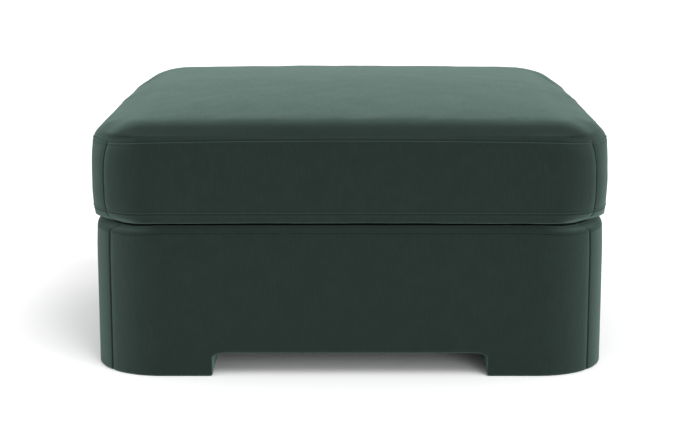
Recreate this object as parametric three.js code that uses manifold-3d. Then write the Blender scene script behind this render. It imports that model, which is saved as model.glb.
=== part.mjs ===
// A rectangular upholstered ottoman: a filled, crowned cushion on a padded base with four block feet.
// Millimetres, +Z up. X runs across the front, the front faces -Y, and the origin is on the floor
// under the middle of the ottoman.
import * as THREE from "three";
import { mergeVertices } from "three/addons/utils/BufferGeometryUtils.js";
import Module from "manifold-3d";

// Overall sizes
const WIDTH = 914;
const DEPTH = 762;
const SEAT_GAP = 0.3;

// Base: plan, heights and feet
const BASE_FRONT_SETBACK = 7;
const BASE_CORNER_RADIUS = 124;
const BASE_SEAM_ANGLE = 42;
const WALL_THICKNESS = 40;
const APRON_HEIGHT = 42;
const RIM_SEAM_HEIGHT = 257.4;
const DECK_HEIGHT = 272.4;
const FOOT_INNER_X = 243;
const SLOT_FILLET_WIDTH = 24;
const SLOT_FILLET_HEIGHT = 9;
const BASE_SEAM_GROOVE = 2.4;

// Cushion: plan, seams and crown
const CUSHION_CORNER_RADIUS = 93;
const CUSHION_SEAM_ANGLE = 45;
const CUSHION_BOTTOM = DECK_HEIGHT + SEAT_GAP;
const BOTTOM_SEAM_HEIGHT = 292.7;
const TOP_SEAM_HEIGHT = 419.5;
const SEAM_ARCH = 3.2;
const SEAM_CORNER_DROP = 3.8;
const SIDE_DRAW_IN = 4;
const BAND_BULGE = 2;
const CUSHION_SEAM_GROOVE = 4;
const ROLL_START_HEIGHT = 421.5;
const ROLL_RISE = 48;
const ROLL_WIDTH = 110;
const ROLL_POWER = 2;
const DOME_RISE = 16.5;
const DOME_POWER = 2.6;

// Two soft pulls in each side shoulder of the cushion, one towards the front and one towards the back
const PULL_FROM_MIDDLE = 165;
const PULL_INSET = 34;
const PULL_HALF_WIDTH = 28;
const PULL_REACH = 46;
const PULL_DEPTH = 4;

const CLOTH = { color: 0x2b3833, roughness: 0.85, metalness: 0 };

const wasm = await Module();
wasm.setup();

const halfWidth = WIDTH / 2;
const halfDepth = DEPTH / 2;
const baseHalfDepth = halfDepth - BASE_FRONT_SETBACK;
const radians = THREE.MathUtils.degToRad;

// One station for each column of points round a plan: a point of a rounded rectangle, the outward
// normal there, whether the station lies on a corner seam, how near it is to the middle of its side,
// and how near to the middle of a corner.
// cornerAngles are the angles of the points in the front right corner, measured from the X axis.
function planStations(halfX, halfY, radius, cornerAngles, seamAngle, sideSteps) {
  const stations = [];
  const addStation = (x, y, angle, seam, middle) => {
    const normalX = Math.cos(angle);
    const normalY = Math.sin(angle);
    stations.push({ x, y, normalX, normalY, seam, middle, corner: 2 * Math.abs(normalX * normalY) });
  };
  const quarters = [
    { signX: 1, signY: -1, forward: false },
    { signX: 1, signY: 1, forward: true },
    { signX: -1, signY: 1, forward: false },
    { signX: -1, signY: -1, forward: true },
  ];
  for (const { signX, signY, forward } of quarters) {
    const angles = forward ? cornerAngles : [...cornerAngles].reverse();
    for (const degrees of angles) {
      const angle = Math.atan2(signY * Math.sin(radians(degrees)), signX * Math.cos(radians(degrees)));
      const x = signX * (halfX - radius) + radius * Math.cos(angle);
      const y = signY * (halfY - radius) + radius * Math.sin(angle);
      addStation(x, y, angle, degrees === seamAngle ? 1 : 0, 0);
    }
    // the straight side that follows this corner, its end points left to the corners
    const alongX = signX === -signY;
    const half = alongX ? halfY - radius : halfX - radius;
    const steps = alongX ? sideSteps.y : sideSteps.x;
    for (let i = 1; i < steps; i += 1) {
      const t = -1 + (2 * i) / steps;
      const middle = 1 - t * t;
      if (alongX) addStation(signX * halfX, signX * t * half, signX > 0 ? 0 : Math.PI, 0, middle);
      else addStation(-signY * t * half, signY * halfY, (signY * Math.PI) / 2, 0, middle);
    }
  }
  return stations;
}

// A closed body made of one ring of points per row. place(station, row) gives a point.
// The first and last rows are the poles, where a ring shrinks to one point.
function loft(stations, rows, place) {
  const outline = rows.map((row, j) => new THREE.Vector2(row.pole ? 0 : 1, j));
  const geometry = new THREE.LatheGeometry(outline, stations.length);
  const position = geometry.getAttribute("position");
  for (let i = 0; i <= stations.length; i += 1) {
    const station = stations[i % stations.length];
    rows.forEach((row, j) => {
      const point = place(station, row);
      position.setXYZ(i * rows.length + j, point.x, point.y, point.z);
    });
  }
  return geometry;
}

// A point of a ring: inset from the plan along the normal, then drawn towards the middle by scale.
function ringPoint(station, inset, scale, z) {
  const x = (station.x - inset * station.normalX) * scale;
  const y = (station.y - inset * station.normalY) * scale;
  return new THREE.Vector3(x, y, z);
}

function toSolid(geometry) {
  const bare = geometry.index ? geometry.toNonIndexed() : geometry.clone();
  bare.deleteAttribute("normal");
  bare.deleteAttribute("uv");
  const merged = mergeVertices(bare, 1e-3);
  const vertProperties = new Float32Array(merged.getAttribute("position").array);
  const triVerts = new Uint32Array(merged.index.array);
  return new wasm.Manifold(new wasm.Mesh({ numProp: 3, vertProperties, triVerts }));
}

function toGeometry(solid) {
  const mesh = solid.getMesh();
  const geometry = new THREE.BufferGeometry();
  geometry.setAttribute("position", new THREE.BufferAttribute(mesh.vertProperties, 3));
  geometry.setIndex(new THREE.BufferAttribute(mesh.triVerts, 1));
  geometry.computeVertexNormals();
  return geometry;
}

function namedMesh(name, geometry) {
  const mesh = new THREE.Mesh(geometry, new THREE.MeshStandardMaterial(CLOTH));
  mesh.name = name;
  return mesh;
}

// Cushion

const SEAM_HALF_ANGLE = 5;
const cushionAngles = [0, 12, 24, 35];
cushionAngles.push(CUSHION_SEAM_ANGLE - SEAM_HALF_ANGLE, CUSHION_SEAM_ANGLE);
cushionAngles.push(CUSHION_SEAM_ANGLE + SEAM_HALF_ANGLE, 55, 66, 78, 90);
const cushionStations = planStations(
  halfWidth,
  halfDepth,
  CUSHION_CORNER_RADIUS,
  cushionAngles,
  CUSHION_SEAM_ANGLE,
  { x: 10, y: 8 },
);

// How far a point of the plan lies in from the rounded edge.
function edgeDistance(x, y) {
  const beyondX = Math.abs(x) - (halfWidth - CUSHION_CORNER_RADIUS);
  const beyondY = Math.abs(y) - (halfDepth - CUSHION_CORNER_RADIUS);
  const round = Math.hypot(Math.max(beyondX, 0), Math.max(beyondY, 0));
  return CUSHION_CORNER_RADIUS - round - Math.min(Math.max(beyondX, beyondY), 0);
}

// How far a soft pull lowers the side shoulder at a point of the plan.
function shoulderPull(x, y) {
  const along = (Math.abs(y) - PULL_FROM_MIDDLE) / PULL_HALF_WIDTH;
  const inward = (halfWidth - Math.abs(x) - PULL_INSET) / PULL_REACH;
  return PULL_DEPTH * Math.exp(-along * along - inward * inward);
}

// The top panel at a point that lies edge in from the rim: a soft roll up from the seam, then a
// shallow dome.
function topHeight(x, y, edge) {
  const t = THREE.MathUtils.clamp(edge / ROLL_WIDTH, 0, 1);
  const roll = ROLL_RISE * (1 - (1 - t) ** ROLL_POWER);
  const alongX = 1 - Math.min(Math.abs(x) / halfWidth, 1) ** DOME_POWER;
  const alongY = 1 - Math.min(Math.abs(y) / halfDepth, 1) ** DOME_POWER;
  return ROLL_START_HEIGHT + roll + DOME_RISE * alongX * alongY - shoulderPull(x, y);
}

// Rows of the cushion from the middle of its underside to the middle of its top. inset is how far the
// row lies in from the widest line, corner how much further in it lies in the middle of a corner, seam
// how much of the corner seam's groove it has, draw how much of the drawn-in side, and arch how much
// of the top seam's rise in the middle of a side and its drop at the corners.
const BAND_HEIGHT = TOP_SEAM_HEIGHT - BOTTOM_SEAM_HEIGHT;
const CORNER_PULL_BELOW = 5;
const CORNER_PULL_ABOVE = 8;
const bandRows = [0.05, 0.16, 0.34, 0.54, 0.74, 0.9].map((t) => ({
  inset: BAND_BULGE * (1 - Math.sin(Math.PI * t)) ** 1.5,
  corner: CORNER_PULL_BELOW * (1 - t) ** 6 + CORNER_PULL_ABOVE * t ** 6,
  z: BOTTOM_SEAM_HEIGHT + 3 + t * (BAND_HEIGHT - 8),
  seam: 1,
  draw: 1,
  arch: t,
}));
const ROLL_EDGE = 70;
const rollRows = [10, 18, 28, 40, 54, ROLL_EDGE].map((inset) => ({
  inset,
  corner: CORNER_PULL_ABOVE * (1 - inset / ROLL_EDGE),
  top: true,
  draw: 1 - inset / ROLL_EDGE,
}));
const crownScales = [0.82, 0.6, 0.36, 0.16];
const cushionRows = [
  { pole: true, inset: 0, scale: 0, z: CUSHION_BOTTOM },
  { inset: ROLL_EDGE, scale: 0.6, z: CUSHION_BOTTOM },
  { inset: 24, z: CUSHION_BOTTOM, seam: 0.3, draw: 1, corner: 2 },
  { inset: 16, z: CUSHION_BOTTOM + 1.6, seam: 0.6, draw: 1, corner: 3 },
  { inset: 8.6, z: CUSHION_BOTTOM + 6.4, seam: 0.8, draw: 1, corner: 4 },
  { inset: 4, z: BOTTOM_SEAM_HEIGHT - 4.5, seam: 0.8, draw: 1, corner: CORNER_PULL_BELOW },
  {
    inset: 2.4 + CUSHION_SEAM_GROOVE,
    z: BOTTOM_SEAM_HEIGHT,
    seam: 0.4,
    draw: 1,
    corner: CORNER_PULL_BELOW,
  },
  ...bandRows,
  { inset: 2.4, z: TOP_SEAM_HEIGHT - 3.5, seam: 0.8, draw: 1, arch: 1, corner: CORNER_PULL_ABOVE },
  {
    inset: 3.2 + CUSHION_SEAM_GROOVE,
    z: TOP_SEAM_HEIGHT,
    seam: 0.3,
    draw: 1,
    arch: 1,
    corner: CORNER_PULL_ABOVE,
  },
  { inset: 5.6, z: TOP_SEAM_HEIGHT + 3.6, draw: 1, arch: 1, corner: CORNER_PULL_ABOVE },
  ...rollRows,
  ...crownScales.map((scale) => ({ inset: ROLL_EDGE, scale, top: true })),
  { pole: true, inset: 0, scale: 0, top: true },
];

function cushionPoint(station, row) {
  const groove = station.seam * (row.seam ?? 0) * CUSHION_SEAM_GROOVE;
  const draw = station.middle * (row.draw ?? 0) * SIDE_DRAW_IN;
  const corner = station.corner * (row.corner ?? 0);
  const point = ringPoint(station, row.inset + groove + draw + corner, row.scale ?? 1, row.z);
  if (row.top) {
    const edge = row.scale === undefined ? row.inset : edgeDistance(point.x, point.y);
    point.z = topHeight(point.x, point.y, edge);
  }
  point.z += (row.arch ?? 0) * (SEAM_ARCH * station.middle - SEAM_CORNER_DROP * station.corner);
  return point;
}

const cushion = loft(cushionStations, cushionRows, cushionPoint);

// Base

const SEAM_HALF_WIDTH_ANGLE = 2.6;
const baseAngles = [0, 13, 27, BASE_SEAM_ANGLE - SEAM_HALF_WIDTH_ANGLE, BASE_SEAM_ANGLE];
baseAngles.push(BASE_SEAM_ANGLE + SEAM_HALF_WIDTH_ANGLE, 58, 74, 90);
const baseStations = planStations(
  halfWidth,
  baseHalfDepth,
  BASE_CORNER_RADIUS,
  baseAngles,
  BASE_SEAM_ANGLE,
  { x: 4, y: 4 },
);

function basePoint(station, row) {
  const groove = station.seam * (row.seam ?? 0) * BASE_SEAM_GROOVE;
  return ringPoint(station, row.inset + groove, row.scale ?? 1, row.z);
}

// The padded outside of the base, from the floor to the seam under its rim.
const sleeve = toSolid(
  loft(
    baseStations,
    [
      { pole: true, inset: 0, scale: 0, z: 0 },
      { inset: 3, z: 0, seam: 0.5 },
      { inset: 0.8, z: 1, seam: 1 },
      { inset: 0, z: 4, seam: 1 },
      { inset: 0, z: RIM_SEAM_HEIGHT - 40, seam: 1 },
      { inset: 1.2, z: RIM_SEAM_HEIGHT - 6, seam: 1 },
      { inset: 2.2, z: RIM_SEAM_HEIGHT - 2, seam: 1 },
      { inset: 4.4, z: RIM_SEAM_HEIGHT, seam: 0.5 },
      { pole: true, inset: 0, scale: 0, z: RIM_SEAM_HEIGHT },
    ],
    basePoint,
  ),
);

// The room inside the four padded walls, from the top of the feet up.
const hollow = toSolid(
  loft(
    baseStations,
    [
      { pole: true, inset: 0, scale: 0, z: APRON_HEIGHT },
      { inset: WALL_THICKNESS, z: APRON_HEIGHT },
      { inset: WALL_THICKNESS, z: RIM_SEAM_HEIGHT + WALL_THICKNESS },
      { pole: true, inset: 0, scale: 0, z: RIM_SEAM_HEIGHT + WALL_THICKNESS },
    ],
    basePoint,
  ),
);

// The seam plane of a corner runs from the middle of the corner's arc, so the inner corner of each
// foot lies on it too.
const seamCosine = Math.cos(radians(BASE_SEAM_ANGLE));
const seamSine = Math.sin(radians(BASE_SEAM_ANGLE));
const arcX = halfWidth - BASE_CORNER_RADIUS;
const arcY = baseHalfDepth - BASE_CORNER_RADIUS;
const footInnerY = arcY - ((arcX - FOOT_INNER_X) * seamSine) / seamCosine;

// The slot between two feet, with a shallow fillet in its upper corners, cut right through the base.
function slotSolid(halfSlot, length, turn) {
  const shape = new THREE.Shape();
  shape.moveTo(-halfSlot, -APRON_HEIGHT);
  shape.lineTo(halfSlot, -APRON_HEIGHT);
  const rightX = halfSlot - SLOT_FILLET_WIDTH;
  const filletY = APRON_HEIGHT - SLOT_FILLET_HEIGHT;
  shape.lineTo(halfSlot, filletY);
  shape.absellipse(rightX, filletY, SLOT_FILLET_WIDTH, SLOT_FILLET_HEIGHT, 0, Math.PI / 2, false, 0);
  shape.absellipse(-rightX, filletY, SLOT_FILLET_WIDTH, SLOT_FILLET_HEIGHT, Math.PI / 2, Math.PI, false, 0);
  shape.closePath();
  const geometry = new THREE.ExtrudeGeometry(shape, { depth: length, bevelEnabled: false, curveSegments: 5 });
  geometry.translate(0, 0, -length / 2);
  geometry.rotateX(Math.PI / 2);
  geometry.rotateZ(turn);
  return toSolid(geometry);
}

const slots = slotSolid(FOOT_INNER_X, 2 * DEPTH, 0).add(slotSolid(footInnerY, 2 * WIDTH, Math.PI / 2));

// The ground that one padded wall covers, between its two seam planes. Each plane is moved back by
// half the gap, so that neighbours lie SEAT_GAP apart.
function wallGround(innerX, innerY, alongX) {
  const reach = DEPTH;
  const half = SEAT_GAP / 2;
  const side = alongX ? 1 : -1;
  const corner = [innerX - side * half * seamSine, innerY + side * half * seamCosine];
  const far = [corner[0] + reach * seamCosine, corner[1] + reach * seamSine];
  const shape = new THREE.Shape();
  const points = alongX
    ? [corner, far, [-far[0], far[1]], [-corner[0], corner[1]]]
    : [[corner[0], -corner[1]], [far[0], -far[1]], far, corner];
  shape.setFromPoints(points.map(([x, y]) => new THREE.Vector2(x, y)));
  return shape;
}

function wallSolid(alongX, turned) {
  const ground = wallGround(FOOT_INNER_X, footInnerY, alongX);
  const tall = 2 * RIM_SEAM_HEIGHT;
  const geometry = new THREE.ExtrudeGeometry(ground, { depth: tall, bevelEnabled: false });
  geometry.translate(0, 0, -APRON_HEIGHT);
  if (turned) geometry.rotateZ(Math.PI);
  return toSolid(geometry).intersect(sleeve).subtract(hollow).subtract(slots);
}

const walls = {
  base_back: wallSolid(true, false),
  base_front: wallSolid(true, true),
  base_right: wallSolid(false, false),
  base_left: wallSolid(false, true),
};

// The filled body of the base stands on the ledges of the feet, between the walls. Its soft rolled
// rim lies on the walls' upper edges, and its flat deck carries the cushion.
const bodyInset = WALL_THICKNESS + SEAT_GAP;
const rimBottom = RIM_SEAM_HEIGHT + SEAT_GAP;
const bodyBottom = APRON_HEIGHT + SEAT_GAP;
const baseBody = loft(
  baseStations,
  [
    { pole: true, inset: 0, scale: 0, z: bodyBottom },
    { inset: bodyInset, z: bodyBottom },
    { inset: bodyInset, z: rimBottom },
    { inset: 4.6, z: rimBottom, seam: 0.5 },
    { inset: 2.8, z: rimBottom + 2, seam: 1 },
    { inset: 2.8, z: rimBottom + 5, seam: 1 },
    { inset: 5.6, z: rimBottom + 9.6, seam: 1 },
    { inset: 11, z: rimBottom + 13, seam: 1 },
    { inset: 19, z: DECK_HEIGHT, seam: 0.4 },
    { inset: 80, scale: 0.5, z: DECK_HEIGHT },
    { pole: true, inset: 0, scale: 0, z: DECK_HEIGHT },
  ],
  basePoint,
);

const ottoman = new THREE.Group();
ottoman.add(namedMesh("cushion", cushion));
ottoman.add(namedMesh("base_body", baseBody));
for (const [name, solid] of Object.entries(walls)) {
  ottoman.add(namedMesh(name, toGeometry(solid)));
}

export default ottoman;
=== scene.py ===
"""A rectangular upholstered ottoman in dark green velvet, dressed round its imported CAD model.

Metres in Blender, +Z up. X runs across the front, which faces -Y, and the floor is at Z 0. The
shapes below are worked out in millimetres and turned into metres where a mesh is made.
"""
import math

import bmesh
import bpy
import numpy as np
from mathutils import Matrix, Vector
from mathutils.kdtree import KDTree


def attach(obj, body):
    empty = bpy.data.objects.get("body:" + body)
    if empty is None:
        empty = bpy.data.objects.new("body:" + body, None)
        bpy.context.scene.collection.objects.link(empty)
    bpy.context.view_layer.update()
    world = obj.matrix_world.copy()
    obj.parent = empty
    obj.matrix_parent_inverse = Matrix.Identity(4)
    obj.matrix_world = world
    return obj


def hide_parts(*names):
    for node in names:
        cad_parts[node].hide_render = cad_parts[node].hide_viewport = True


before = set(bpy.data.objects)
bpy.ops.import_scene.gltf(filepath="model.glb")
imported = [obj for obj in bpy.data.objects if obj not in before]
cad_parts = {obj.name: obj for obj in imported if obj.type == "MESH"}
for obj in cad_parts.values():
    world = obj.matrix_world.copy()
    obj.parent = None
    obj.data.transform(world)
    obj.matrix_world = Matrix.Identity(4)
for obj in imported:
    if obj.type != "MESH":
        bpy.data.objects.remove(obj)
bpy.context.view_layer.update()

MM = 0.001
# Degrees between two faces above which their edge is sharp
SHARP_ANGLE = 50

# Sizes shared with the CAD source, in millimetres
HALF_WIDTH = 457.0
HALF_DEPTH = 381.0
BASE_HALF_DEPTH = 374.0
BASE_RADIUS = 124.0
BASE_SEAM_ANGLE = 42.0
WALL_THICKNESS = 40.0
APRON_HEIGHT = 42.0
DECK_HEIGHT = 272.4
GAP = 0.3
FOOT_INNER_X = 243.0
FOOT_INNER_Y = 168.96
FILLET_WIDTH = 24.0
FILLET_HEIGHT = 9.0

CUSHION_RADIUS = 93.0
CUSHION_SEAM_ANGLE = 45.0
CUSHION_BOTTOM = DECK_HEIGHT + GAP
BOTTOM_SEAM_HEIGHT = 292.7
TOP_SEAM_HEIGHT = 419.5
SEAM_ARCH = 3.2
SEAM_CORNER_DROP = 3.8
SIDE_DRAW_IN = 4.0
ROLL_START_HEIGHT = 421.5
ROLL_RISE = 48.0
ROLL_WIDTH = 110.0
DOME_POWER = 2.6

# The dressed top rolls a little less steeply than the solid, and its dome is a little higher
ROLL_POWER = 1.85
DOME_RISE = 17.4


def smoothstep(low, high, value):
    t = np.clip((value - low) / (high - low), 0, 1)
    return t * t * (3 - 2 * t)


def bump(distance, width):
    """A bell of height 1 that is width wide on each side."""
    return np.exp(-((distance / width) ** 2))


# How many times longer each step is than the one before it
STEP_GROWTH = 1.22


def growing_steps(length, first, largest):
    """Distances from 0 to length, whose steps grow from about first to largest."""
    places = [0.0]
    step = first
    while places[-1] < length:
        places.append(places[-1] + step)
        step = min(step * STEP_GROWTH, largest)
    return np.array(places) * length / places[-1]


def through(knots, values, at):
    """A smooth curve through the values at the knots, read at the places named by at."""
    slope = np.gradient(values, knots, axis=0)
    i = np.clip(np.searchsorted(knots, at, side="right") - 1, 0, len(knots) - 2)
    step = knots[i + 1] - knots[i]
    t = (at - knots[i]) / step
    if values.ndim > 1:
        step = step[:, None]
        t = t[:, None]
    rise = 3 * t**2 - 2 * t**3
    leave = (t**3 - 2 * t**2 + t) * step
    arrive = (t**3 - t**2) * step
    return values[i] * (1 - rise) + values[i + 1] * rise + leave * slope[i] + arrive * slope[i + 1]


class Waves:
    """A smooth field made of a few plane waves with seeded directions, from about -1 to 1."""

    def __init__(self, seed, wavelength, count=14):
        draw = np.random.default_rng(seed)
        direction = draw.normal(size=(count, 3))
        direction /= np.linalg.norm(direction, axis=1)[:, None]
        length = wavelength * draw.uniform(0.6, 1.6, size=count)
        self.wave = direction * (2 * math.pi / length)[:, None]
        self.phase = draw.uniform(0, 2 * math.pi, size=count)
        self.scale = math.sqrt(2 / count)

    def __call__(self, points):
        return np.sin(points @ self.wave.T + self.phase).sum(-1) * self.scale * 0.6


# Plans and lofts


# Steps between the stations at a corner seam and, at most, elsewhere in a corner
SEAM_STEP = 0.7
CORNER_STEP = 9


class Plan:
    """Stations counter-clockwise round a rounded rectangle, close together near the corner seams.

    x, y is a station's point, nx, ny the outward normal, seam the distance along the plan to the
    nearest corner seam, middle 1 in the middle of a side and 0 at a corner, and corner 1 in the
    middle of a corner and 0 along the sides.
    """

    def __init__(self, half_x, half_y, radius, seam_angle, side_step):
        rows = []
        turn = math.radians(seam_angle)
        before = growing_steps(radius * turn, SEAM_STEP, CORNER_STEP) / radius
        after = growing_steps(radius * (math.pi / 2 - turn), SEAM_STEP, CORNER_STEP) / radius
        angles = np.concatenate([turn - before[::-1], turn + after[1:]])
        quarters = [(1, -1, -1), (1, 1, 1), (-1, 1, -1), (-1, -1, 1)]
        for sign_x, sign_y, way in quarters:
            for a in angles[::way]:
                nx = sign_x * math.cos(a)
                ny = sign_y * math.sin(a)
                x = sign_x * (half_x - radius) + radius * nx
                y = sign_y * (half_y - radius) + radius * ny
                rows.append((x, y, nx, ny, abs(a - turn) * radius, 0.0, 2 * abs(nx * ny)))
            along_y = sign_x == -sign_y
            half = half_y - radius if along_y else half_x - radius
            to_seam = radius * (turn if along_y else math.pi / 2 - turn)
            count = round(2 * half / side_step)
            for k in range(1, count):
                t = -1 + 2 * k / count
                seam = to_seam + half * (1 - abs(t))
                if along_y:
                    place = (sign_x * half_x, sign_x * t * half, sign_x, 0.0)
                else:
                    place = (-sign_y * t * half, sign_y * half_y, 0.0, sign_y)
                rows.append((*place, seam, 1 - t * t, 0.0))
        table = np.array(rows).T
        self.x, self.y, self.nx, self.ny, self.seam, self.middle, self.corner = table


# How much longer a profile's steps are for each millimetre away from a spot
SPOT_SPREAD = 0.16


def profile_rows(controls, spots):
    """Rows of a profile, at steps that are fine near the spots and coarser away from them.

    controls is a list of (inset, z, ...) and spots a list of (place along the controls' numbers,
    smallest step, largest step). Returns the rows and how far along the profile each one is.
    """
    controls = np.array(controls, float)
    chord = np.linalg.norm(np.diff(controls[:, :2], axis=0), axis=1)
    knots = np.concatenate([[0], np.cumsum(chord)])
    centres = [(knots[index], fine, coarse) for index, fine, coarse in spots]
    places = [0.0]
    while places[-1] < knots[-1]:
        here = places[-1]
        steps = [min(coarse, fine + SPOT_SPREAD * abs(here - at)) for at, fine, coarse in centres]
        places.append(places[-1] + min(steps))
    places = np.array(places) * knots[-1] / places[-1]
    return through(knots, controls, places), places, knots


def grid_normals(points):
    """Outward normals of a closed loft: points[row, station, xyz], stations counter-clockwise."""
    along = np.roll(points, -1, axis=1) - np.roll(points, 1, axis=1)
    up = np.gradient(points, axis=0)
    normal = np.cross(along, up)
    length = np.linalg.norm(normal, axis=2)[:, :, None]
    return normal / np.maximum(length, 1e-9)


def sewn(distance, marks):
    """Grooves and lips beside a seam, from a list of (distance from the seam, height, width)."""
    return sum(height * bump(distance - place, width) for place, height, width in marks)


def closed_loft(points, low_pole, high_pole):
    """Vertices in millimetres and faces of a closed body made of rings of points."""
    rows, count = points.shape[:2]
    vertices = np.concatenate([points.reshape(-1, 3), [low_pole], [high_pole]])
    i = np.arange(count)
    j = (i + 1) % count
    faces = []
    for r in range(rows - 1):
        quad = np.stack([r * count + i, r * count + j, (r + 1) * count + j, (r + 1) * count + i], 1)
        faces.extend(quad.tolist())
    low, high = rows * count, rows * count + 1
    faces.extend([[low, b, a] for a, b in zip(i.tolist(), j.tolist())])
    top = (rows - 1) * count
    faces.extend([[high, top + a, top + b] for a, b in zip(i.tolist(), j.tolist())])
    return vertices, faces


def make_object(name, vertices, faces, sharp=None):
    """A mesh object in metres from vertices in millimetres."""
    mesh = bpy.data.meshes.new(name)
    mesh.from_pydata((np.asarray(vertices) * MM).tolist(), [], faces)
    mesh.validate()
    mesh.shade_smooth()
    if sharp is not None:
        mesh.set_sharp_from_angle(angle=math.radians(sharp))
    made = bpy.data.objects.new(name, mesh)
    bpy.context.scene.collection.objects.link(made)
    return made


# Cushion


def roll_height(edge):
    """Height of the top panel's roll above its start, edge millimetres in from the rim."""
    t = np.clip(edge / ROLL_WIDTH, 0, 1)
    return ROLL_RISE * (1 - (1 - t) ** ROLL_POWER)


def rounded_edge(x, y, radius):
    """How far a point of the plan lies in from a rim whose corners have this radius."""
    beyond_x = np.abs(x) - (HALF_WIDTH - radius)
    beyond_y = np.abs(y) - (HALF_DEPTH - radius)
    outside = np.hypot(np.maximum(beyond_x, 0), np.maximum(beyond_y, 0))
    return radius - outside - np.minimum(np.maximum(beyond_x, beyond_y), 0)


# Corner radius of the crown in plan, in front and behind
SOFT_RADIUS_FRONT = 105.0
SOFT_RADIUS_BACK = 150.0
# Where the top is fuller at its back corners: x and y of the middle, reach along each, and rise
FULL_CORNER = (392.0, 285.0, 60.0, 75.0, 4.0)
# Where it is fuller along its ends: distance in and width, y of the middle and reach, and rise
FULL_END = (26.0, 13.0, -90.0, 220.0, 4.5)


def crown_radius(y):
    """Radius of the crown's corners in plan at a place between the front and the back."""
    share = smoothstep(-100, 100, y)
    return SOFT_RADIUS_FRONT + (SOFT_RADIUS_BACK - SOFT_RADIUS_FRONT) * share


def fuller_places(x, y, edge):
    """How much higher the top lies at its back corners and along its ends."""
    corner_x, corner_y, reach_x, reach_y, rise = FULL_CORNER
    corner = rise * bump(np.abs(x) - corner_x, reach_x) * bump(y - corner_y, reach_y)
    inset, width, end_y, reach, rise = FULL_END
    end = rise * bump(HALF_WIDTH - np.abs(x) - inset, width) * np.exp(-(((y - end_y) / reach) ** 4))
    return corner * smoothstep(20, 60, edge) + end


def crown_height(x, y, edge):
    """The top panel's height at a point that lies edge in from the rim."""
    share = smoothstep(20, 90, edge)
    soft_edge = np.minimum(rounded_edge(x, y, crown_radius(y)), ROLL_WIDTH)
    blended = edge * (1 - share) + soft_edge * share
    along_x = 1 - np.minimum(np.abs(x) / HALF_WIDTH, 1) ** DOME_POWER
    along_y = 1 - np.minimum(np.abs(y) / HALF_DEPTH, 1) ** DOME_POWER
    dome = DOME_RISE * along_x * along_y * smoothstep(2, 14, edge)
    return ROLL_START_HEIGHT + roll_height(blended) + dome + fuller_places(x, y, edge)


# How much further in a corner's seams lie, how far its lower edge sags, and how the band bulges
CORNER_PULL_BELOW = 3.0
CORNER_PULL_ABOVE = 8.0
CORNER_SAG = 1.2
BAND_BULGE = 2.0
# Where the roll's rows end, in from the rim, and the number of the crown's rows inside them
ROLL_EDGE = 70.0
CROWN_ROWS = 28
# How far above the innermost row the loft's middle lies
POLE_RISE = 0.02
CUSHION_STATION_STEP = 9


def cushion_side_controls():
    """(inset, z, corner, draw, arch, sag) up the cushion's side, from its underside to its roll.

    corner is how much further in the middle of a corner lies, draw how much of the drawn-in side
    a row has, arch how much of the top seam's rise and drop, and sag how much of the corners' sag.
    """
    base = CUSHION_BOTTOM
    rows = [
        (60, base, 1, 0.5, 0, 0),
        (30, base, 6, 1, 0, 0.3),
        (18, base + 1.2, 10, 1, 0, 0.8),
        (12, base + 2.3, 14, 1, 0, 1),
        (8, base + 3.1, 18, 1, 0, 1),
        (5.2, base + 3.8, 20, 1, 0, 1),
        (4.0, base + 4.4, 19, 1, 0, 1),
        (3.3, base + 5.7, 17, 1, 0, 0.9),
        (2.8, base + 9.0, 10, 1, 0, 0.5),
        (2.1, base + 14.5, 5, 1, 0, 0.1),
        (1.0, BOTTOM_SEAM_HEIGHT, 3, 1, 0, 0),
        (0.9, BOTTOM_SEAM_HEIGHT + 3.4, 3, 1, 0, 0),
    ]
    band = TOP_SEAM_HEIGHT - BOTTOM_SEAM_HEIGHT
    for t in (0.06, 0.16, 0.34, 0.54, 0.74, 0.9):
        bulge = BAND_BULGE * (1 - math.sin(math.pi * t)) ** 1.5 * (0.5 if t < 0.5 else 1)
        corner = CORNER_PULL_BELOW * (1 - t) ** 10 + CORNER_PULL_ABOVE * t**6
        rows.append((bulge, BOTTOM_SEAM_HEIGHT + 3 + t * (band - 8), corner, 1, t, 0))
    top_corner = CORNER_PULL_ABOVE
    roll_start = ROLL_START_HEIGHT + roll_height(10.0)
    rows += [
        (2.2, TOP_SEAM_HEIGHT - 3.5, top_corner, 1, 1, 0),
        (3.4, TOP_SEAM_HEIGHT, top_corner, 1, 1, 0),
        (5.8, TOP_SEAM_HEIGHT + 3.8, top_corner, 1, 0.8, 0),
        (10, roll_start, top_corner * (1 - 10 / ROLL_EDGE), 0.86, 0, 0),
    ]
    return rows


# Numbers of the controls at the lower edge and at the two sewn seams
LOWER_EDGE_ROW = 6
BOTTOM_SEAM_ROW = 10
TOP_SEAM_ROW = 19

# Cross-section of the top panel at the middle of the front, where it is flatter and turns tighter:
# distance in from the rim elsewhere, distance in here and height here. A smooth curve joins them.
FRONT_SECTION = [
    (5.8, 5.8, 423.3),
    (10, 9.7, 426.8),
    (14, 12.4, 430.3),
    (18, 15.3, 434.2),
    (22, 18.2, 438.1),
    (27, 21.9, 442.4),
    (32, 25.8, 446.2),
    (38, 32.4, 450.1),
    (45, 41.1, 453.6),
    (52, 49.5, 456.0),
    (60, 58.7, 458.1),
    (70, 69.4, 460.1),
    (80, 80, 461.9),
    (100, 100, 465.2),
    (140, 140, 470.7),
    (200, 200, 476.8),
    (260, 260, 481.3),
    (320, 320, 485.0),
    (HALF_DEPTH, HALF_DEPTH, ROLL_START_HEIGHT + ROLL_RISE + DOME_RISE),
]
# How far in from the ends that section is reached, at the front's edge and further back
FRONT_FADE_NEAR = 60.0
FRONT_FADE_FAR = 90.0


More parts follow.
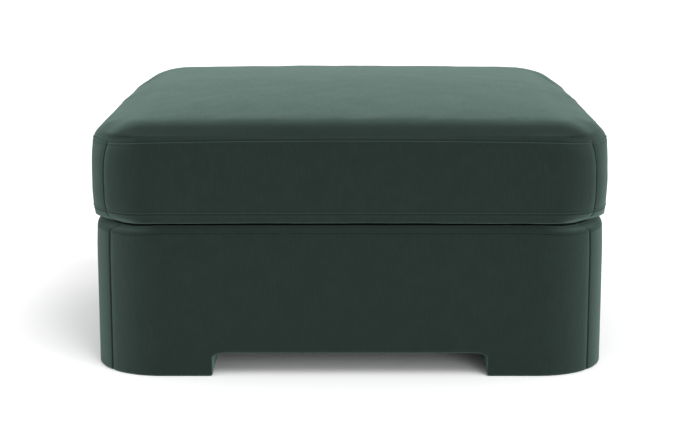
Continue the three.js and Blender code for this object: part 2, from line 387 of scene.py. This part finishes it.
def flatten_front(points, first):
    """Gives the rows of the top panel, from row first on, their flatter section along the front."""
    elsewhere, edge, height = np.array(FRONT_SECTION).T
    x, y, z = np.moveaxis(points[first - 1 :], -1, 0)
    middle = np.maximum(1 - (x / (HALF_WIDTH - CUSHION_RADIUS)) ** 2, 0)
    drawn = y + HALF_DEPTH - SIDE_DRAW_IN * middle * smoothstep(ROLL_EDGE, 0, y + HALF_DEPTH)
    depth = np.minimum(drawn, HALF_DEPTH)
    fade = FRONT_FADE_NEAR + (FRONT_FADE_FAR - FRONT_FADE_NEAR) * smoothstep(30, 120, depth)
    weight = smoothstep(0, 1, (HALF_WIDTH - np.abs(x)) / fade)
    inside = np.maximum(depth, elsewhere[0])
    shift = through(elsewhere, edge - elsewhere, inside)
    front = np.abs(x[0] + (y[0] > 0) * HALF_WIDTH).argmin()
    usual = np.interp(depth, depth[:, front], z[:, front])
    arch = SEAM_ARCH * (middle + (1 - middle) * smoothstep(28, 12, depth))
    rise = through(elsewhere, height, inside) + arch * smoothstep(40, 0, depth) - usual
    weight_up = weight * smoothstep(elsewhere[0], elsewhere[1], depth)
    changed = points.copy()
    changed[first - 1 :, :, 1] = y + weight * shift
    changed[first - 1 :, :, 2] = np.where(y < 0, z + weight_up * rise, z)
    return changed


def cushion_form(plan):
    """The cushion's points without seams, and each row's distance from the two sewn seams."""
    controls = cushion_side_controls()
    spots = [(LOWER_EDGE_ROW, 0.6, 5.5), (BOTTOM_SEAM_ROW, 0.7, 5.5), (TOP_SEAM_ROW, 0.6, 5.5)]
    side, places, knots = profile_rows(controls, spots)
    rows = []
    for inset, z, corner, draw, arch, sag in side:
        total = inset + plan.corner * corner + plan.middle * draw * SIDE_DRAW_IN
        height = z + arch * (SEAM_ARCH * plan.middle - SEAM_CORNER_DROP * plan.corner)
        height = height - sag * CORNER_SAG * smoothstep(0, 0.8, plan.corner)
        x = plan.x - total * plan.nx
        y = plan.y - total * plan.ny
        rows.append(np.stack([x, y, height], 1))
    roll = np.concatenate([np.arange(12.5, 30, 2.6), np.arange(31, ROLL_EDGE, 4.4), [ROLL_EDGE]])
    for inset in roll:
        share = 1 - inset / ROLL_EDGE
        total = inset + plan.corner * CORNER_PULL_ABOVE * share + plan.middle * share * SIDE_DRAW_IN
        x = plan.x - total * plan.nx
        y = plan.y - total * plan.ny
        rows.append(np.stack([x, y, crown_height(x, y, inset)], 1))
    last_x, last_y = rows[-1][:, 0], rows[-1][:, 1]
    for scale in np.linspace(1, 0, CROWN_ROWS + 2)[1:-1]:
        x, y = last_x * scale, last_y * scale
        edge = np.maximum(rounded_edge(x, y, CUSHION_RADIUS), ROLL_EDGE)
        rows.append(np.stack([x, y, crown_height(x, y, edge)], 1))
    points = flatten_front(np.array(rows), len(side))
    reach = np.linalg.norm(np.diff(points, axis=0), axis=2).mean(1)
    along = np.concatenate([[0], np.cumsum(reach)])
    seams = np.interp(knots[[BOTTOM_SEAM_ROW, TOP_SEAM_ROW]], places, along[: len(places)])
    return points, along - seams[0], along - seams[1]


# Soft folds of the top near its left and right ends, the same on both ends: where the middle of
# the fold lies (in from the end, y), its way in plan, half its length, its height and its width
FOLDS = [
    (38, -20, (0.86, -0.5), 26, 1.7, 7.0),
    (46, 185, (0.55, 0.83), 30, 2.2, 7.0),
]


def top_folds(points):
    """How far the soft folds lift or lower the top, in millimetres."""
    x, y = np.abs(points[..., 0]), points[..., 1]
    inward = HALF_WIDTH - x
    lift = np.zeros(x.shape)
    for middle_in, middle_y, way, reach, height, width in FOLDS:
        along = (inward - middle_in) * way[0] + (y - middle_y) * way[1]
        across = (inward - middle_in) * -way[1] + (y - middle_y) * way[0]
        share = np.exp(-((along / reach) ** 4))
        ridge = bump(across, width)
        valley = bump(across + 1.5 * width, 1.3 * width)
        lift += share * height * (ridge - 0.7 * valley)
    above = smoothstep(TOP_SEAM_HEIGHT + 4, TOP_SEAM_HEIGHT + 24, points[..., 2])
    return lift * above


# Grooves and lips of the cushion's seams: distance from the seam, upwards, height and width
BOTTOM_SEAM_MARKS = [(0.6, -1.7, 1.2), (2.9, 0.9, 1.4)]
TOP_SEAM_MARKS = [(-1, -0.7, 8), (-0.4, -1.3, 1.2), (-3.2, 0.9, 1.5), (-5.8, -0.8, 1.2)]
CORNER_SEAM_MARKS = [(0, -1.6, 1.2), (0, -1.0, 8)]
# Unevenness of the filling: height, seed and wavelength
UNEVENNESS = [(0.35, 3, 90), (0.2, 4, 38)]


def cushion_relief(plan, points, from_bottom, from_top):
    """How far each point of the cushion moves out along its normal for seams and soft folds."""
    low = from_bottom[:, None]
    high = from_top[:, None]
    band = smoothstep(-24, -8, low) * smoothstep(4, -2, high)
    seams = sewn(low, BOTTOM_SEAM_MARKS) + sewn(high, TOP_SEAM_MARKS)
    seams = seams + band * sewn(plan.seam[None, :], CORNER_SEAM_MARKS)
    uneven = sum(height * Waves(seed, length)(points) for height, seed, length in UNEVENNESS)
    return seams + uneven + top_folds(points)


# The cushion's cloth: its voxels, the filling's pressure, its slack as a share of its length
CLOTH_VOXEL = 8.0
CLOTH_PRESSURE = 4.0
CLOTH_SLACK = 0.007
# How many frames it settles for, the longest move that is kept, and how many moves are averaged
CLOTH_FRAMES = 20
CLOTH_LIMIT = 2.4
CLOTH_NEIGHBOURS = 20
# How near a seam the cloth is held, and how far from it the cloth moves freely
HELD_NEAR_SEAM = 9.0
FREE_FROM_SEAM = 50.0


def remeshed(made):
    """Gives an object even cloth-sized faces."""
    remesh = made.modifiers.new("remesh", "REMESH")
    remesh.mode = "VOXEL"
    remesh.voxel_size = CLOTH_VOXEL * MM
    graph = bpy.context.evaluated_depsgraph_get()
    mesh = bpy.data.meshes.new_from_object(made.evaluated_get(graph))
    made.modifiers.clear()
    made.data = mesh


def vertex_places(mesh):
    """A mesh's vertices in millimetres."""
    places = np.empty(3 * len(mesh.vertices))
    mesh.vertices.foreach_get("co", places)
    return places.reshape(-1, 3) / MM


def tree_of(places):
    """A search tree for the nearest of some places."""
    tree = KDTree(len(places))
    for index, place in enumerate(places):
        tree.insert(place, index)
    tree.balance()
    return tree


def simulate_cloth(made, rest, held):
    """How far each vertex moves from its rest as the filling presses on the slightly slack cloth."""
    group = made.vertex_groups.new(name="held")
    group.add(np.flatnonzero(held).tolist(), 1.0, "REPLACE")
    cloth = made.modifiers.new("cloth", "CLOTH")
    cloth.settings.quality = 6
    cloth.settings.mass = 0.3
    cloth.settings.tension_stiffness = 15
    cloth.settings.compression_stiffness = 15
    cloth.settings.shear_stiffness = 5
    cloth.settings.bending_stiffness = 0.5
    cloth.settings.shrink_min = -CLOTH_SLACK
    cloth.settings.use_pressure = True
    cloth.settings.uniform_pressure_force = CLOTH_PRESSURE
    cloth.settings.vertex_group_mass = "held"
    cloth.settings.effector_weights.gravity = 0
    cloth.collision_settings.use_collision = False
    cloth.point_cache.frame_start = 1
    cloth.point_cache.frame_end = CLOTH_FRAMES
    scene = bpy.context.scene
    for step in range(1, CLOTH_FRAMES + 1):
        scene.frame_set(step)
    graph = bpy.context.evaluated_depsgraph_get()
    settled = made.evaluated_get(graph)
    moved = vertex_places(settled.to_mesh()) - rest
    settled.to_mesh_clear()
    made.modifiers.clear()
    scene.frame_set(1)
    return moved


def loft_cushion(name, points):
    """A closed object over the cushion's points."""
    low = [0, 0, CUSHION_BOTTOM]
    high = points[-1].mean(0) + [0, 0, POLE_RISE]
    return make_object(name, *closed_loft(points, low, high))


def settle_cushion(points, from_bottom, from_top):
    """Moves the cushion's points as its cloth settles between its seams over the filling."""
    coarse = loft_cushion("cushion_cloth", points)
    remeshed(coarse)
    rest = vertex_places(coarse.data)
    bottom_row = np.abs(from_bottom).argmin()
    top_row = np.abs(from_top).argmin()
    seams = tree_of(np.concatenate([points[bottom_row], points[top_row]]))
    near = np.array([seams.find(place)[2] for place in rest])
    held = (near < HELD_NEAR_SEAM) | (rest[:, 2] < BOTTOM_SEAM_HEIGHT)
    moved = simulate_cloth(coarse, rest, held)
    bpy.data.objects.remove(coarse)
    tree = tree_of(rest)
    off_seam = np.minimum(np.abs(from_bottom), np.abs(from_top))
    free = smoothstep(HELD_NEAR_SEAM / 2, FREE_FROM_SEAM, off_seam)
    moves = np.zeros(points.shape)
    for row, station in np.ndindex(points.shape[:2]):
        found = tree.find_n(points[row, station], CLOTH_NEIGHBOURS)
        nearest = [index for _, index, _ in found]
        distance = np.array([distance for _, _, distance in found])
        share = bump(distance, 2 * CLOTH_VOXEL)
        moves[row, station] = free[row] * (moved[nearest] * share[:, None]).sum(0) / share.sum()
    longest = np.linalg.norm(moves, axis=2).max()
    return points + moves * min(1, CLOTH_LIMIT / longest)


def make_cushion(material):
    """The filled cushion with its crown, its settled cloth and its sewn seams."""
    plan = Plan(HALF_WIDTH, HALF_DEPTH, CUSHION_RADIUS, CUSHION_SEAM_ANGLE, CUSHION_STATION_STEP)
    points, from_bottom, from_top = cushion_form(plan)
    points = settle_cushion(points, from_bottom, from_top)
    normals = grid_normals(points)
    relief = cushion_relief(plan, points, from_bottom, from_top)
    relief[points[:, :, 2] < CUSHION_BOTTOM + 1.0] = 0
    made = loft_cushion("seat_cushion", points + normals * relief[:, :, None])
    made.data.materials.append(material)
    return made


# Base


PANEL_TOP = 256.2
RIM_UNDER = PANEL_TOP + 1.4
# How much lower the panels' upper edge, the rim and its crest lie in the middle of a corner
PANEL_CORNER_DROP = 4.5
RIM_CORNER_DROP = 5.6
RIM_CREST_DROP = 1.8
# How much less the panels' upper edge turns in there
PANEL_CORNER_FILL = 1.3
# How far in the outer half of the rim's roll ends
RIM_CREST_INSET = 20.0
# Numbers of the rim's controls at its lower edge and on its roll
RIM_EDGE_ROW = 4
RIM_ROLL_ROW = 10
RIM_STATION_STEP = 12
# How far in the cloth lies beside the corner seams, and in a small pleat of the rim next to them:
# distance from the seam, depth and width
RIM_SEAM_MARKS = [(0, 1.8, 1.3), (0, 0.8, 7)]
RIM_PLEAT_MARKS = [(17, 0.7, 1.6)]
PANEL_SEAM_MARKS = [(0, 2.2, 1.7), (0, 0.7, 8)]


def rim_controls():
    """(inset, z, corner) from the inside of the walls under the rim, out, up and over to the deck.

    corner is how much further in the middle of a corner lies.
    """
    under = RIM_UNDER
    return [
        (WALL_THICKNESS + GAP, under, 0),
        (22, under, 0),
        (8, under, 0),
        (3.6, under, -1.7),
        (3.0, under + 0.2, -1.4),
        (2.7, under + 0.8, -1.2),
        (3.0, under + 2.2, -0.6),
        (3.9, under + 4.2, 1),
        (5.4, under + 6.2, 5),
        (7.4, under + 8.5, 10),
        (9.5, under + 10.6, 13),
        (11.4, under + 12.0, 15),
        (13.2, under + 12.4, 15),
        (15.2, under + 10.8, 13),
        (18, under + 5, 9),
        (25, under + 2.5, 4),
        (38, under + 3, 0),
        (48, DECK_HEIGHT, 0),
    ]


def make_rim(material):
    """The filled body of the base with its deck and its soft rolled rim."""
    plan = Plan(HALF_WIDTH, BASE_HALF_DEPTH, BASE_RADIUS, BASE_SEAM_ANGLE, RIM_STATION_STEP)
    inner = WALL_THICKNESS + GAP
    bottom = APRON_HEIGHT + GAP
    spots = [(RIM_EDGE_ROW, 0.5, 4), (RIM_ROLL_ROW, 0.9, 6)]
    side, places, knots = profile_rows(rim_controls(), spots)
    sewn_share = smoothstep(knots[2], knots[3], places) * smoothstep(knots[14], knots[12], places)
    pleat_share = bump(places - knots[RIM_ROLL_ROW], 3.0)
    rows = []
    for z in (bottom, RIM_UNDER - RIM_CORNER_DROP * plan.corner):
        x = plan.x - inner * plan.nx
        y = plan.y - inner * plan.ny
        rows.append(np.stack([x, y, plan.x * 0 + z], 1))
    for (inset, z, corner), share, pleat in zip(side[1:], sewn_share[1:], pleat_share[1:]):
        total = inset + corner * plan.corner + share * sewn(plan.seam, RIM_SEAM_MARKS)
        total = total + pleat * sewn(plan.seam, RIM_PLEAT_MARKS)
        drop = RIM_CORNER_DROP * smoothstep(RIM_UNDER + 40, RIM_UNDER, z) * plan.corner
        if inset < RIM_CREST_INSET:
            crest = smoothstep(RIM_UNDER + 5, RIM_UNDER + 12, z)
            drop = drop + RIM_CREST_DROP * crest * smoothstep(0, 1, plan.corner)
        x = plan.x - total * plan.nx
        y = plan.y - total * plan.ny
        rows.append(np.stack([x, y, z - drop], 1))
    for scale in (0.8, 0.5, 0.2):
        x, y = rows[-1][:, 0] * scale, rows[-1][:, 1] * scale
        rows.append(np.stack([x, y, plan.x * 0 + DECK_HEIGHT], 1))
    vertices, faces = closed_loft(np.array(rows), [0, 0, bottom], [0, 0, DECK_HEIGHT])
    made = make_object("deck_and_rim", vertices, faces, sharp=SHARP_ANGLE)
    made.data.materials.append(material)
    return made


# The panels' rounded edges and the thickness of their cloth and wadding
EDGE_RADIUS = 4.0
SHELL_THICKNESS = 5.0
# Heights of the skin's rows below its upper edge, then their step further down to the split, below
# which the rows follow the cut-out
UPPER_ROWS = [0, 0.4, 1.0, 1.8, 2.9, 4.4, 6.4, 9.4, 13.4, 19.4, 27.4, 37.4]
MIDDLE_ROWS_TOP = 210.0
MIDDLE_ROW_STEP = 11.0
SKIN_SPLIT = 60.0
# How far the skin turns in at each height
SKIN_TURN_IN = [
    (0, 0),
    (60, 0),
    (217, 0.2),
    (236, 0.9),
    (246, 1.3),
    (252, 1.6),
    (255, 1.8),
    (255.9, 2.1),
    (PANEL_TOP, 2.6),
]
# Distances between stations along a wall, and stations round the fillet of the cut-out
STATION_STEP = 9
FILLET_STATIONS = 8
# How far in the rows of the base's underside lie, along the whole wall and on the soles alone
UNDERSIDE_DEPTHS = (14, 26, WALL_THICKNESS)
SOLE_DEPTHS = (70, 110, 155)


class Panel:
    """The cloth of one padded wall of the base with its half of two feet, in its own frame.

    u runs along the wall, v outwards and z up. The wall is straight for arc_u on each side of its
    middle, then turns by a quarter circle round (arc_u, arc_v), as far as the corner seam.
    """

    def __init__(self, arc_u, arc_v, seam_angle, foot_u, foot_v):
        self.arc_u = arc_u
        self.arc_v = arc_v
        self.face_v = arc_v + BASE_RADIUS
        self.angle = math.radians(seam_angle) + GAP / 2 / BASE_RADIUS
        self.foot_u = foot_u
        self.foot_v = foot_v
        self.vertices = []
        self.faces = []
        self.stations = self.make_stations()
        self.edge = self.make_skin()
        self.turn_under()

    def add(self, u, v, z):
        self.vertices.append((u, v, z))
        return len(self.vertices) - 1

    def grid(self, rows):
        for a, b in zip(rows, rows[1:]):
            for i in range(len(a) - 1):
                corners = list(dict.fromkeys([a[i], a[i + 1], b[i + 1], b[i]]))
                if len(corners) > 2:
                    self.faces.append(corners)

    def make_stations(self):
        """(u, v, nu, nv, seam, low, turn) from left to right along the wall.

        seam is the distance to the corner seam, low the height of the skin's lower edge above the
        opening, and turn the place round the fillet, or None on a foot.
        """
        flat_u = self.foot_u - FILLET_WIDTH
        to_seam = BASE_RADIUS * (math.pi / 2 - self.angle)
        places = []
        steps = round(flat_u / STATION_STEP)
        for k in range(steps):
            places.append((flat_u * k / steps, APRON_HEIGHT + EDGE_RADIUS, 0.0))
        for turn in np.linspace(0, math.pi / 2, FILLET_STATIONS):
            u = flat_u + (FILLET_WIDTH + EDGE_RADIUS) * math.sin(turn)
            z = APRON_HEIGHT - FILLET_HEIGHT + (FILLET_HEIGHT + EDGE_RADIUS) * math.cos(turn)
            places.append((u, z, turn))
        start = self.foot_u + EDGE_RADIUS
        steps = round((self.arc_u - start) / STATION_STEP)
        for k in range(1, steps + 1):
            places.append((start + (self.arc_u - start) * k / steps, None, None))
        rows = []
        for u, z, turn in places:
            rows.append((u, self.face_v, 0.0, 1.0, to_seam + self.arc_u - u, z, turn))
        for seam in growing_steps(to_seam, 0.5, 8)[-2::-1]:
            a = self.angle + seam / BASE_RADIUS
            nu, nv = math.cos(a), math.sin(a)
            u, v = self.arc_u + BASE_RADIUS * nu, self.arc_v + BASE_RADIUS * nv
            rows.append((u, v, nu, nv, seam, None, None))
        mirrored = [(-u, v, -nu, *rest) for u, v, nu, *rest in rows[:0:-1]]
        return mirrored + rows

    def skin_point(self, station, z, turn_in):
        u, v, nu, nv, seam = station[:5]
        corner = 2 * abs(nu * nv)
        fill = PANEL_CORNER_FILL * corner * smoothstep(1.3, 2.6, turn_in)
        inset = turn_in - fill + sewn(seam, PANEL_SEAM_MARKS)
        drop = PANEL_CORNER_DROP * corner * smoothstep(PANEL_TOP - 60, PANEL_TOP, z)
        return self.add(u - inset * nu, v - inset * nv, z - drop)

    def make_skin(self):
        """The upright skin. Returns its lower edge from the left: (vertex, way out, normal, part)."""
        stations = self.stations
        middle = np.arange(MIDDLE_ROWS_TOP, SKIN_SPLIT, -MIDDLE_ROW_STEP)
        heights = np.concatenate([PANEL_TOP - np.array(UPPER_ROWS), middle, [SKIN_SPLIT]])
        turn_in = np.interp(heights, *np.array(SKIN_TURN_IN, float).T)
        rows = [[self.skin_point(s, z, t) for s in stations] for z, t in zip(heights, turn_in)]
        fillet_base = APRON_HEIGHT - FILLET_HEIGHT
        low = [fillet_base if s[5] is None else s[5] for s in stations]
        for share in np.linspace(0, 1, 6)[1:]:
            lower = [SKIN_SPLIT + (z - SKIN_SPLIT) * share for z in low]
            rows.append([self.skin_point(s, z, 0) for s, z in zip(stations, lower)])
        self.grid(rows)
        opening = [i for i, s in enumerate(stations) if s[6] is not None]
        first, last = opening[0], opening[-1]
        foot_z = np.linspace(fillet_base, EDGE_RADIUS, 6)[1:]
        feet = []
        for chosen in (range(first + 1), range(last, len(stations))):
            foot = [[rows[-1][i] for i in chosen]]
            foot += [[self.skin_point(stations[i], z, 0) for i in chosen] for z in foot_z]
            self.grid(foot)
            feet.append(foot)
        left, right = feet
        normals = [s[2:4] for s in stations]
        edge = [(left[-1][i], (0, -1), normals[i], "sole") for i in range(first + 1)]
        edge += self.foot_side([row[-1] for row in left], 1)
        for i in range(first, last + 1):
            u, turn = stations[i][0], stations[i][6]
            out_u = math.sin(turn) / (FILLET_WIDTH + EDGE_RADIUS)
            out_z = math.cos(turn) / (FILLET_HEIGHT + EDGE_RADIUS)
            length = math.hypot(out_u, out_z)
            flat = abs(u) <= self.foot_u - FILLET_WIDTH + 0.01
            way = (-math.copysign(out_u / length, u), -out_z / length)
            edge.append((rows[-1][i], way, (0, 1), "apron" if flat else "side"))
        edge += self.foot_side([row[0] for row in right], -1)[::-1]
        for vertex, normal in zip(right[-1], normals[last:]):
            edge.append((vertex, (0, -1), normal, "sole"))
        return edge

    def foot_side(self, column, way):
        """The edge round a foot's lower corner and up its inner side, towards way along u."""
        edge = []
        for share in (0.25, 0.5, 0.75):
            a = share * math.pi / 2
            edge.append((column[-1], (way * math.sin(a), -math.cos(a)), (0, 1), "side"))
        return edge + [(vertex, (way, 0), (0, 1), "side") for vertex in column[:0:-1]]

    def turn_under(self):
        """The rounded edge, then the feet's inner sides, the apron's underside and the soles."""
        rows = [[item[0] for item in self.edge]]
        for a in np.linspace(0, math.pi / 2, 6)[1:]:
            inward = EDGE_RADIUS * (1 - math.cos(a))
            outward = EDGE_RADIUS * math.sin(a)
            row = []
            for vertex, way, normal, _ in self.edge:
                u, v, z = self.vertices[vertex]
                u += outward * way[0] - inward * normal[0]
                row.append(self.add(u, v - inward * normal[1], z + outward * way[1]))
            rows.append(row)
        self.grid(rows)
        turned = rows[-1]
        lean = EDGE_RADIUS * math.tan(self.angle)
        reach = self.face_v - self.foot_v - lean

        def inward_row(depth, chosen):
            share = (depth - EDGE_RADIUS) / (reach - EDGE_RADIUS)
            row = []
            for i in chosen:
                u, v, z = self.vertices[turned[i]]
                if self.edge[i][3] == "sole":
                    aim_u = math.copysign(self.foot_u + EDGE_RADIUS, u)
                    aim_v = self.foot_v + lean
                    row.append(self.add(u + (aim_u - u) * share, v + (aim_v - v) * share, z))
                else:
                    row.append(self.add(u, v - depth + EDGE_RADIUS, z))
            return row

        every = range(len(turned))
        near = [turned] + [inward_row(depth, every) for depth in UNDERSIDE_DEPTHS]
        self.grid(near)
        apron = [i for i in every if self.edge[i][3] == "apron"]
        for chosen in (range(apron[0] + 1), range(apron[-1], len(turned))):
            start = [near[-1][i] for i in chosen]
            self.grid([start] + [inward_row(depth, chosen) for depth in (*SOLE_DEPTHS, reach)])


def make_panel(name, panel, place, material):
    """One wall of the base. place turns (u, v) into (x, y)."""
    points = [(*place(u, v), z) for u, v, z in panel.vertices]
    made = make_object(name, points, panel.faces)
    shape = bmesh.new()
    shape.from_mesh(made.data)
    bmesh.ops.remove_doubles(shape, verts=shape.verts, dist=1e-6)
    bmesh.ops.recalc_face_normals(shape, faces=shape.faces)
    outward = Vector((*place(0, 1), 0))
    if sum(face.normal.dot(outward) * face.calc_area() for face in shape.faces) < 0:
        bmesh.ops.reverse_faces(shape, faces=shape.faces)
    shape.to_mesh(made.data)
    shape.free()
    made.data.set_sharp_from_angle(angle=math.radians(SHARP_ANGLE))
    shell = made.modifiers.new("shell", "SOLIDIFY")
    shell.thickness = SHELL_THICKNESS * MM
    shell.offset = -1
    made.data.materials.append(material)
    return made


def make_base(material):
    """The four walls of the base by side."""
    arc_x = HALF_WIDTH - BASE_RADIUS
    arc_y = BASE_HALF_DEPTH - BASE_RADIUS
    long = Panel(arc_x, arc_y, BASE_SEAM_ANGLE, FOOT_INNER_X, FOOT_INNER_Y)
    short = Panel(arc_y, arc_x, 90 - BASE_SEAM_ANGLE, FOOT_INNER_Y, FOOT_INNER_X)
    places = {
        "front": (long, lambda u, v: (u, -v)),
        "back": (long, lambda u, v: (-u, v)),
        "right": (short, lambda u, v: (v, u)),
        "left": (short, lambda u, v: (-v, -u)),
    }
    walls = {}
    for side, (panel, place) in places.items():
        walls[side] = make_panel(f"{side}_panel", panel, place, material)
    return walls


# Materials


class Tree:
    """Adds and joins the shader nodes of one material."""

    def __init__(self, material):
        material.use_nodes = True
        self.nodes = material.node_tree.nodes
        self.links = material.node_tree.links
        self.shader = self.nodes["Principled BSDF"]

    def put(self, value, socket):
        if isinstance(value, bpy.types.NodeSocket):
            self.links.new(value, socket)
        else:
            socket.default_value = value

    def maths(self, operation, a, b=0.0, c=0.0):
        node = self.nodes.new("ShaderNodeMath")
        node.operation = operation
        for value, socket in zip((a, b, c), node.inputs):
            self.put(value, socket)
        return node.outputs[0]

    def stretched(self, vector, factors):
        node = self.nodes.new("ShaderNodeVectorMath")
        node.operation = "MULTIPLY"
        self.put(vector, node.inputs[0])
        node.inputs[1].default_value = factors
        return node.outputs[0]

    def scaled(self, vector, factor):
        node = self.nodes.new("ShaderNodeVectorMath")
        node.operation = "SCALE"
        self.put(vector, node.inputs[0])
        self.put(factor, node.inputs["Scale"])
        return node.outputs[0]

    def noise(self, vector, detail=1.0):
        node = self.nodes.new("ShaderNodeTexNoise")
        node.inputs["Scale"].default_value = 1.0
        node.inputs["Detail"].default_value = detail
        self.put(vector, node.inputs["Vector"])
        return node.outputs["Fac"]

    def ramp(self, value, low, high):
        """0 below low and 1 above high, smooth between."""
        node = self.nodes.new("ShaderNodeMapRange")
        node.interpolation_type = "SMOOTHSTEP"
        for name, number in (("Value", value), ("From Min", low), ("From Max", high)):
            self.put(number, node.inputs[name])
        return node.outputs["Result"]

    def mix(self, kind, share, a, b):
        node = self.nodes.new("ShaderNodeMix")
        node.data_type = kind
        sockets = [s for s in node.inputs if s.enabled]
        for value, socket in zip((share, a, b), sockets):
            self.put(value, socket)
        return [s for s in node.outputs if s.enabled][0]


# Noise per metre: the pile's strokes, across and along them, its grain and its soft patches
STROKE_ACROSS = 270.0
STROKE_ALONG_SIDE = 55.0
STROKE_ALONG_TOP = 22.0
GRAIN = 1300.0
PATCHES = 24.0
# How much the strokes and the patches lighten and darken the colour
STROKE_SHADE = 0.7
PATCH_SHADE = 0.5
# How high the grain and the patches are beside the strokes
GRAIN_HEIGHT = 0.35
PATCH_HEIGHT = 2.0
# The normal's rise over which the strokes turn from upright to front to back, and the painted sheen
# fades in
LYING_FROM_TO = (0.5, 0.8)
PAINTED_SHEEN_RISE = (0.92, 0.985)

PILE_COLOUR = (0.0042, 0.0072, 0.0061, 1)
# Painted sheen: upward faces get a paler colour that stands in for the brighter light and sheen on
# the top.
PAINTED_SHEEN_COLOUR = (0.019, 0.0295, 0.0255, 1)
SHEEN_TINT = (0.66, 1.0, 0.87, 1)
PILE_DEPTH = 0.00022


def velvet(name):
    """Dark green velvet: a short pile with upright strokes, soft patches, a green sheen and painted
    sheen on upward faces.
    """
    material = bpy.data.materials.new(name)
    tree = Tree(material)
    place = tree.nodes.new("ShaderNodeTexCoord")
    split = tree.nodes.new("ShaderNodeSeparateXYZ")
    tree.put(place.outputs["Normal"], split.inputs[0])
    up = split.outputs["Z"]
    where = place.outputs["Object"]
    upright = (STROKE_ACROSS, STROKE_ACROSS, STROKE_ALONG_SIDE)
    front_to_back = (STROKE_ACROSS, STROKE_ALONG_TOP, STROKE_ACROSS)
    side_strokes = tree.noise(tree.stretched(where, upright))
    top_strokes = tree.noise(tree.stretched(where, front_to_back))
    lying = tree.ramp(up, *LYING_FROM_TO)
    strokes = tree.mix("FLOAT", lying, side_strokes, top_strokes)
    grain = tree.noise(tree.stretched(where, (GRAIN, GRAIN, GRAIN)))
    patches = tree.noise(tree.stretched(where, (PATCHES, PATCHES, PATCHES)), 2.0)

    # Painted sheen: upward faces are mixed towards a paler colour that stands in for the top's
    # brighter light.
    painted_sheen_share = tree.ramp(up, *PAINTED_SHEEN_RISE)
    colour = tree.mix("RGBA", painted_sheen_share, PILE_COLOUR, PAINTED_SHEEN_COLOUR)
    shade = tree.maths("MULTIPLY_ADD", strokes, STROKE_SHADE, 1 - STROKE_SHADE / 2)
    shade = tree.maths("SUBTRACT", shade, PATCH_SHADE / 2)
    shade = tree.maths("MULTIPLY_ADD", patches, PATCH_SHADE, shade)
    tree.put(tree.scaled(colour, shade), tree.shader.inputs["Base Color"])

    bump_node = tree.nodes.new("ShaderNodeBump")
    bump_node.inputs["Strength"].default_value = 1.0
    bump_node.inputs["Distance"].default_value = PILE_DEPTH
    height = tree.maths("MULTIPLY_ADD", grain, GRAIN_HEIGHT, strokes)
    height = tree.maths("MULTIPLY_ADD", patches, PATCH_HEIGHT, height)
    tree.put(height, bump_node.inputs["Height"])
    tree.put(bump_node.outputs[0], tree.shader.inputs["Normal"])

    tree.shader.inputs["Roughness"].default_value = 0.9
    tree.shader.inputs["Specular IOR Level"].default_value = 0.03
    tree.shader.inputs["Sheen Weight"].default_value = 0.2
    tree.shader.inputs["Sheen Roughness"].default_value = 0.63
    tree.shader.inputs["Sheen Tint"].default_value = SHEEN_TINT
    return material


def floor_material():
    material = bpy.data.materials.new("pale_floor")
    material.use_nodes = True
    shader = material.node_tree.nodes["Principled BSDF"]
    shader.inputs["Base Color"].default_value = (0.95, 0.95, 0.95, 1)
    shader.inputs["Roughness"].default_value = 0.9
    shader.inputs["Specular IOR Level"].default_value = 0.0
    return material


# Stage


FLOOR_REACH = 30000.0


def make_floor():
    reach = FLOOR_REACH
    corners = [(-reach, -reach, 0), (reach, -reach, 0), (reach, reach, 0), (-reach, reach, 0)]
    floor = make_object("floor", corners, [[0, 1, 2, 3]])
    floor.data.materials.append(floor_material())


def make_light(name, azimuth, elevation, softness, strength):
    """A wide soft lamp that is far away.

    Azimuth is 0 in front of the object and grows to its right, and softness is how wide it looks.
    """
    data = bpy.data.lights.new(name, "SUN")
    data.angle = math.radians(softness)
    data.energy = strength
    light = bpy.data.objects.new(name, data)
    light.rotation_euler = (math.radians(90 - elevation), 0, math.radians(azimuth))
    bpy.context.scene.collection.objects.link(light)


WORLD_STRENGTH = 1.05
# Azimuth, elevation and softness of the lamps in degrees, and their strength
KEY_LAMP = (40, 45, 34, 1.17)
FILL_LAMP = (19, 14, 26, 1.44)


def make_studio():
    world = bpy.data.worlds.new("studio")
    world.use_nodes = True
    world.node_tree.nodes["Background"].inputs["Color"].default_value = (1, 1, 1, 1)
    world.node_tree.nodes["Background"].inputs["Strength"].default_value = WORLD_STRENGTH
    scene = bpy.context.scene
    scene.world = world
    make_light("key", *KEY_LAMP)
    make_light("fill", *FILL_LAMP)
    scene.view_settings.view_transform = "Standard"
    scene.view_settings.look = "None"
    scene.view_settings.exposure = 0
    scene.view_settings.gamma = 1


# The camera's place in metres, how many degrees it looks down, its lens and sensor in millimetres,
# and its sideways shift
CAMERA_PLACE = (0, -3.2721, 0.8742)
CAMERA_PITCH = 11.574
CAMERA_LENS = 87.66
CAMERA_SENSOR = 36
CAMERA_SHIFT = 0.0002


def make_camera():
    data = bpy.data.cameras.new("camera")
    data.sensor_width = CAMERA_SENSOR
    data.lens = CAMERA_LENS
    data.shift_x = CAMERA_SHIFT
    camera = bpy.data.objects.new("camera", data)
    camera.location = CAMERA_PLACE
    camera.rotation_euler = (math.radians(90 - CAMERA_PITCH), 0, 0)
    bpy.context.scene.collection.objects.link(camera)
    bpy.context.scene.camera = camera


def dress(piece, fill, *nodes):
    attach(piece, "root")
    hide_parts(*nodes)


cloth = velvet("velvet")
dress(make_cushion(cloth), 0.9, "cushion")
dress(make_rim(cloth), 0.95, "base_body")
for side, piece in make_base(cloth).items():
    dress(piece, 0.95, f"base_{side}")
make_floor()
make_studio()
make_camera()

bpy.context.view_layer.update()
